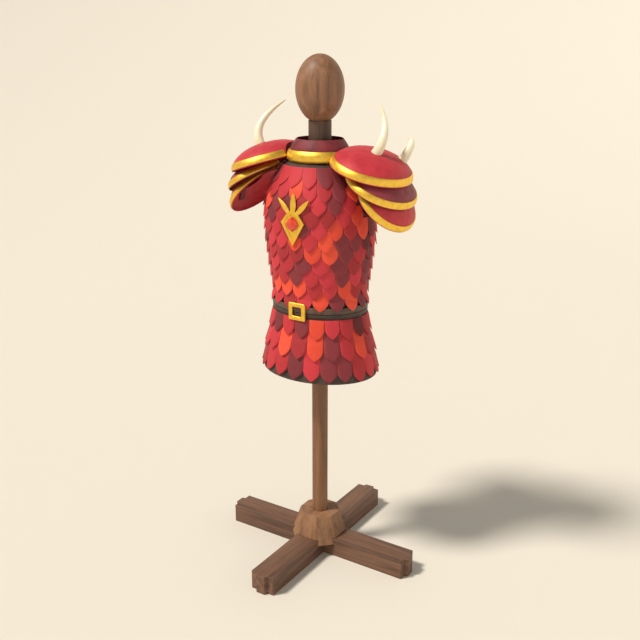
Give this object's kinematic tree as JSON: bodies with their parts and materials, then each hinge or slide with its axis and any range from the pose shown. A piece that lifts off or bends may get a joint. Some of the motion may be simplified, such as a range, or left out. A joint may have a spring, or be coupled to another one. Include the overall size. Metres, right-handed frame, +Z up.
{
  "type": "scale armour on wooden stand",
  "caption": "Scale armour of red lacquered scales on a leather jerkin and skirt, with horned shoulder lames, brooch and belt, on a wooden stand",
  "frame": {"origin": "on the floor under the pole's axis, the middle of the crossed beams' underside", "axes": "+Z up from the floor through the pole and head, +X to the armour's left arm along one beam, +Y behind the armour"},
  "size_m": [0.75, 0.75, 1.75],
  "materials": {
    "scales": "matte lacquer in mixed reds and orange",
    "lames": "satin red lacquer, hammered",
    "gilt": "worn gilt",
    "stone": "cut and polished",
    "horn": "rubbed horn",
    "leather": "matte",
    "belt": "waxed",
    "collar": "dyed, matte",
    "beams": "oiled, matte",
    "hub": "oiled, matte",
    "pole_and_head": "oiled, matte"
  },
  "bodies": {
    "root": {"band_left_1": "gilt", "band_left_2": "gilt", "band_left_3": "gilt", "band_right_1": "gilt", "band_right_2": "gilt", "band_right_3": "gilt", "beam_x": "beams", "beam_y": "beams", "belt": "belt", "brooch_plate": "gilt", "brooch_stone": "stone", "buckle": "gilt", "collar": "collar", "collar_ring": "gilt", "head": "pole_and_head", "horn_left_1": "horn", "horn_right_1": "horn", "horn_right_2": "horn", "hub": "hub", "jerkin_back": "leather", "jerkin_front": "leather", "lame_left_1": "lames", "lame_left_2": "lames", "lame_left_3": "lames", "lame_right_1": "lames", "lame_right_2": "lames", "lame_right_3": "lames", "leather_left": "leather", "leather_right": "leather", "neck": "pole_and_head", "pole": "pole_and_head", "scale_row_01_back": "scales", "scale_row_01_front": "scales", "scale_row_02_back": "scales", "scale_row_02_front": "scales", "scale_row_03_back": "scales", "scale_row_03_front": "scales", "scale_row_04_back": "scales", "scale_row_04_front": "scales", "scale_row_05": "scales", "scale_row_06": "scales", "scale_row_07": "scales", "scale_row_08": "scales", "scale_row_09": "scales", "scale_row_10": "scales", "scale_row_11": "scales", "skirt_back": "leather", "skirt_front": "leather", "skirt_row_1": "scales", "skirt_row_2": "scales", "skirt_row_3": "scales", "yoke": "pole_and_head"}
  },
  "joints": []
}
